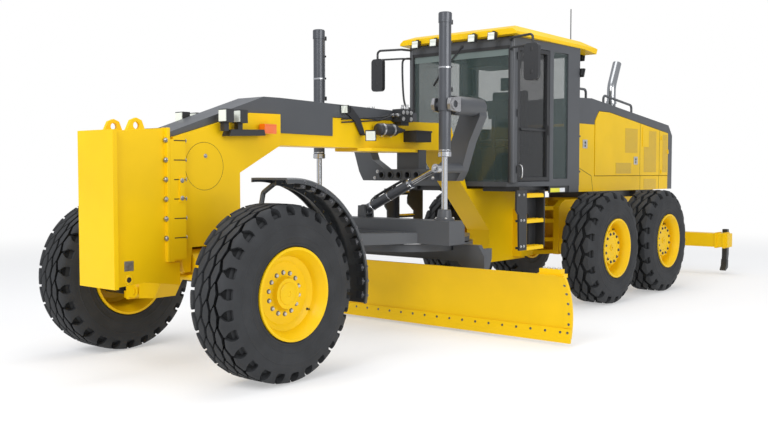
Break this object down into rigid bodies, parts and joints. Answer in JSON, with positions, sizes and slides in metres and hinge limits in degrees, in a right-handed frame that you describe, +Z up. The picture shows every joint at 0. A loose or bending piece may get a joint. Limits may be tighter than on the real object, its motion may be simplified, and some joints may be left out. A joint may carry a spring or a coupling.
{
  "type": "motor grader",
  "caption": "Articulated road grader: arched front frame with cab, leaning front wheels, turning blade on a drawbar, tandem rear drive, front push block and rear ripper.",
  "frame": {"origin": "on the ground, under the middle of the machine's outside box", "axes": "+X forward towards the push block, +Y to the machine's left, +Z up"},
  "size_m": [10.54, 4.27, 3.62],
  "materials": {
    "yellow": "semi-gloss warm yellow enamel",
    "dark_grey": "satin charcoal enamel",
    "black": "satin black enamel",
    "tyre": "matt black rubber",
    "chrome": "polished hard chrome",
    "steel": "bare worn steel",
    "glass": "smoked tinted glass"
  },
  "bodies": {
    "rear_body": {"rear_frame": "yellow", "rear_axle": "dark_grey", "tandem_left": "yellow", "tandem_right": "yellow", "engine_block": "dark_grey", "hood_belt": "yellow", "hood_top": "dark_grey", "exhaust_stack": "chrome", "ripper_mount": "yellow"},
    "front_body": {"front_frame": "yellow", "beam_cover": "dark_grey", "push_block": "yellow", "front_axle": "yellow", "blade_saddle": "dark_grey", "cab_frame": "dark_grey", "cab_glass": "glass", "cab_roof": "yellow", "cab_interior": "black", "cab_steps": "black", "cab_fittings": "black"},
    "lean_bar": {"lean_bar": "yellow"},
    "rear_grille": {"rear_grille": "dark_grey"},
    "drawbar_ball": {"drawbar_ball": "chrome"},
    "drawbar": {"drawbar": "dark_grey"},
    "circle": {"circle": "dark_grey"},
    "blade_bracket": {"blade_bracket": "dark_grey"},
    "blade": {"moldboard": "yellow"},
    "swing_barrel": {"swing_barrel": "black"},
    "swing_rod": {"swing_rod": "chrome"},
    "ripper": {"ripper_beam": "yellow", "ripper_shanks": "black"},
    "ripper_barrels": {"ripper_barrels": "black"},
    "ripper_rods": {"ripper_rods": "chrome"},
    "hood_door_left": {"hood_door_left": "yellow"},
    "cab_door_left": {"cab_door_left": "dark_grey"},
    "lean_yoke_left": {"lean_yoke_left": "yellow"},
    "knuckle_left": {"knuckle_left": "black"},
    "lift_yoke_left": {"lift_yoke_left": "steel"},
    "lift_barrel_left": {"lift_barrel_left": "black"},
    "lift_rod_left": {"lift_rod_left": "chrome"},
    "wheel_front_left": {"rim_front_left": "yellow", "tyre_front_left": "tyre"},
    "wheel_mid_left": {"rim_mid_left": "yellow", "tyre_mid_left": "tyre"},
    "wheel_rear_left": {"rim_rear_left": "yellow", "tyre_rear_left": "tyre"},
    "hood_door_right": {"hood_door_right": "yellow"},
    "cab_door_right": {"cab_door_right": "dark_grey"},
    "lean_yoke_right": {"lean_yoke_right": "yellow"},
    "knuckle_right": {"knuckle_right": "black"},
    "lift_yoke_right": {"lift_yoke_right": "steel"},
    "lift_barrel_right": {"lift_barrel_right": "black"},
    "lift_rod_right": {"lift_rod_right": "chrome"},
    "wheel_front_right": {"rim_front_right": "yellow", "tyre_front_right": "tyre"},
    "wheel_mid_right": {"rim_mid_right": "yellow", "tyre_mid_right": "tyre"},
    "wheel_rear_right": {"rim_rear_right": "yellow", "tyre_rear_right": "tyre"}
  },
  "joints": [
    {"name": "articulation", "type": "hinge", "parent": "rear_body", "child": "front_body", "pos_m": [-0.95, 0, 0.85], "axis": [0, 0, 1], "range_deg": [-22, 22]},
    {"name": "wheel_mid_left_spin", "type": "hinge", "parent": "rear_body", "child": "wheel_mid_left", "pos_m": [-1.02, 1.04, 0.678], "axis": [0, 1, 0], "continuous": true},
    {"name": "wheel_rear_left_spin", "type": "hinge", "parent": "rear_body", "child": "wheel_rear_left", "pos_m": [-2.56, 1.04, 0.678], "axis": [0, 1, 0], "continuous": true},
    {"name": "hood_door_left_swing", "type": "hinge", "parent": "rear_body", "child": "hood_door_left", "pos_m": [-1.783, 0.565, 1.9], "axis": [0, 0, -1], "range_deg": [0, 75]},
    {"name": "cab_door_left_swing", "type": "hinge", "parent": "front_body", "child": "cab_door_left", "pos_m": [-0.202, 0.792, 2.2], "axis": [0, 0, 1], "range_deg": [0, 80]},
    {"name": "lean_left", "type": "hinge", "parent": "front_body", "child": "lean_yoke_left", "pos_m": [4.4, 0.62, 0.56], "axis": [-1, 0, 0], "range_deg": [-20, 20]},
    {"name": "steer_left", "type": "hinge", "parent": "lean_yoke_left", "child": "knuckle_left", "pos_m": [4.4, 0.8, 0.678], "axis": [0, 0, 1], "range_deg": [-50, 50]},
    {"name": "wheel_front_left_spin", "type": "hinge", "parent": "knuckle_left", "child": "wheel_front_left", "pos_m": [4.4, 1.04, 0.678], "axis": [0, 1, 0], "continuous": true},
    {"name": "lift_yoke_left_swing", "type": "hinge", "parent": "front_body", "child": "lift_yoke_left", "pos_m": [1.95, 0.85, 2.25], "axis": [1, 0, 0], "range_deg": [-17.2, 17.2]},
    {"name": "lift_barrel_left_tilt", "type": "hinge", "parent": "lift_yoke_left", "child": "lift_barrel_left", "pos_m": [1.95, 0.85, 2.25], "axis": [0, -1, 0], "range_deg": [0, 8.1]},
    {"name": "lift_rod_left_slide", "type": "slide", "parent": "lift_barrel_left", "child": "lift_rod_left", "axis": [0, 0, 1], "range_m": [0, 0.435]},
    {"name": "wheel_mid_right_spin", "type": "hinge", "parent": "rear_body", "child": "wheel_mid_right", "pos_m": [-1.02, -1.04, 0.678], "axis": [0, 1, 0], "continuous": true},
    {"name": "wheel_rear_right_spin", "type": "hinge", "parent": "rear_body", "child": "wheel_rear_right", "pos_m": [-2.56, -1.04, 0.678], "axis": [0, 1, 0], "continuous": true},
    {"name": "hood_door_right_swing", "type": "hinge", "parent": "rear_body", "child": "hood_door_right", "pos_m": [-1.783, -0.565, 1.9], "axis": [0, 0, 1], "range_deg": [0, 75]},
    {"name": "cab_door_right_swing", "type": "hinge", "parent": "front_body", "child": "cab_door_right", "pos_m": [-0.202, -0.792, 2.2], "axis": [0, 0, -1], "range_deg": [0, 80]},
    {"name": "lean_right", "type": "hinge", "parent": "front_body", "child": "lean_yoke_right", "pos_m": [4.4, -0.62, 0.56], "axis": [-1, 0, 0], "range_deg": [-20, 20]},
    {"name": "steer_right", "type": "hinge", "parent": "lean_yoke_right", "child": "knuckle_right", "pos_m": [4.4, -0.8, 0.678], "axis": [0, 0, 1], "range_deg": [-50, 50]},
    {"name": "wheel_front_right_spin", "type": "hinge", "parent": "knuckle_right", "child": "wheel_front_right", "pos_m": [4.4, -1.04, 0.678], "axis": [0, 1, 0], "continuous": true},
    {"name": "lift_yoke_right_swing", "type": "hinge", "parent": "front_body", "child": "lift_yoke_right", "pos_m": [1.95, -0.85, 2.25], "axis": [1, 0, 0], "range_deg": [-17.2, 17.2]},
    {"name": "lift_barrel_right_tilt", "type": "hinge", "parent": "lift_yoke_right", "child": "lift_barrel_right", "pos_m": [1.95, -0.85, 2.25], "axis": [0, -1, 0], "range_deg": [0, 8.1]},
    {"name": "lift_rod_right_slide", "type": "slide", "parent": "lift_barrel_right", "child": "lift_rod_right", "axis": [0, 0, 1], "range_m": [0, 0.435]},
    {"name": "lean_bar_turn", "type": "hinge", "parent": "lean_yoke_left", "child": "lean_bar", "pos_m": [4.54, 0.62, 0.74], "axis": [-1, 0, 0], "range_deg": [-20, 20]},
    {"name": "rear_grille_swing", "type": "hinge", "parent": "rear_body", "child": "rear_grille", "pos_m": [-4.338, -0.472, 1.75], "axis": [0, 0, 1], "range_deg": [0, 100]},
    {"name": "drawbar_swing", "type": "hinge", "parent": "front_body", "child": "drawbar_ball", "pos_m": [3.93, 0, 0.94], "axis": [0, 0, 1], "range_deg": [-9.5, 9.5]},
    {"name": "drawbar_lift", "type": "hinge", "parent": "drawbar_ball", "child": "drawbar", "pos_m": [3.93, 0, 0.94], "axis": [0, 1, 0], "range_deg": [0, 12.3]},
    {"name": "circle_turn", "type": "hinge", "parent": "drawbar", "child": "circle", "pos_m": [1.56, 0, 0.835], "axis": [0, 0, -1], "range_deg": [-60, 60]},
    {"name": "blade_pitch", "type": "hinge", "parent": "circle", "child": "blade_bracket", "pos_m": [1.53, 0, 0.25], "axis": [0, -1, 0], "range_deg": [-35, 5]},
    {"name": "blade_shift", "type": "slide", "parent": "blade_bracket", "child": "blade", "axis": [0, -1, 0], "range_m": [-0.68, 0.68]},
    {"name": "swing_barrel_tilt", "type": "hinge", "parent": "drawbar", "child": "swing_barrel", "pos_m": [1.84, -0.27, 1.19], "axis": [1, 0, 0], "range_deg": [-23.7, 0]},
    {"name": "swing_rod_slide", "type": "slide", "parent": "swing_barrel", "child": "swing_rod", "axis": [0, 0.9066, 0.4221], "range_m": [-0.3, 0.3]},
    {"name": "ripper_lift", "type": "hinge", "parent": "rear_body", "child": "ripper", "pos_m": [-4.43, 0, 0.76], "axis": [0, 1, 0], "range_deg": [-5, 28]},
    {"name": "ripper_barrels_tilt", "type": "hinge", "parent": "rear_body", "child": "ripper_barrels", "pos_m": [-4.48, 0, 1.18], "axis": [0, 1, 0], "range_deg": [-3.7, 20.7]},
    {"name": "ripper_rods_slide", "type": "slide", "parent": "ripper_barrels", "child": "ripper_rods", "axis": [-0.7837, 0, -0.6211], "range_m": [-0.19, 0.035]}
  ],
  "couplings": [
    {"joint": "lean_right", "follows": "lean_left", "ratio": 1},
    {"joint": "steer_right", "follows": "steer_left", "ratio": 1},
    {"joint": "lean_bar_turn", "follows": "lean_left", "ratio": -1},
    {"joint": "lift_yoke_left_swing", "follows": "drawbar_swing", "ratio": -1.8},
    {"joint": "lift_barrel_left_tilt", "follows": "drawbar_lift", "ratio": 0.65},
    {"joint": "lift_rod_left_slide", "follows": "drawbar_lift", "m_per_rad": 2.02},
    {"joint": "lift_yoke_right_swing", "follows": "drawbar_swing", "ratio": -1.8},
    {"joint": "lift_barrel_right_tilt", "follows": "drawbar_lift", "ratio": 0.65},
    {"joint": "lift_rod_right_slide", "follows": "drawbar_lift", "m_per_rad": 2.02},
    {"joint": "swing_barrel_tilt", "follows": "drawbar_lift", "ratio": -1.92},
    {"joint": "swing_rod_slide", "follows": "drawbar_swing", "m_per_rad": 1.8},
    {"joint": "ripper_barrels_tilt", "follows": "ripper_lift", "ratio": 0.735},
    {"joint": "ripper_rods_slide", "follows": "ripper_lift", "m_per_rad": -0.385}
  ]
}
